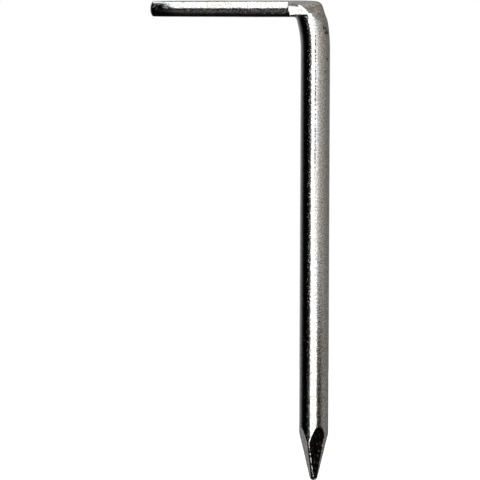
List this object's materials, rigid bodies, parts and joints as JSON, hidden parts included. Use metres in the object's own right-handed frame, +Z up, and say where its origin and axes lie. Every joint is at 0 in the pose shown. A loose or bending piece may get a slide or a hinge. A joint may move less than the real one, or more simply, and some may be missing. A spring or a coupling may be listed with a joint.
{
  "type": "tent stake",
  "caption": "L-shaped steel tent stake: round shank with a four-sided pinched point, its top pressed flat and bent over into a hooking arm.",
  "frame": {"origin": "on the shank's axis, where the straight round shank ends and the bend starts", "axes": "+Z up along the shank towards the bend, the arm points along -X, the point is down, and Y is across the flattened arm"},
  "size_m": [0.0762, 0.017, 0.1953],
  "materials": {
    "plated_steel": "bright plated, with a fine grain, pits and nicks"
  },
  "bodies": {
    "root": {"stake": "plated_steel"}
  },
  "joints": []
}
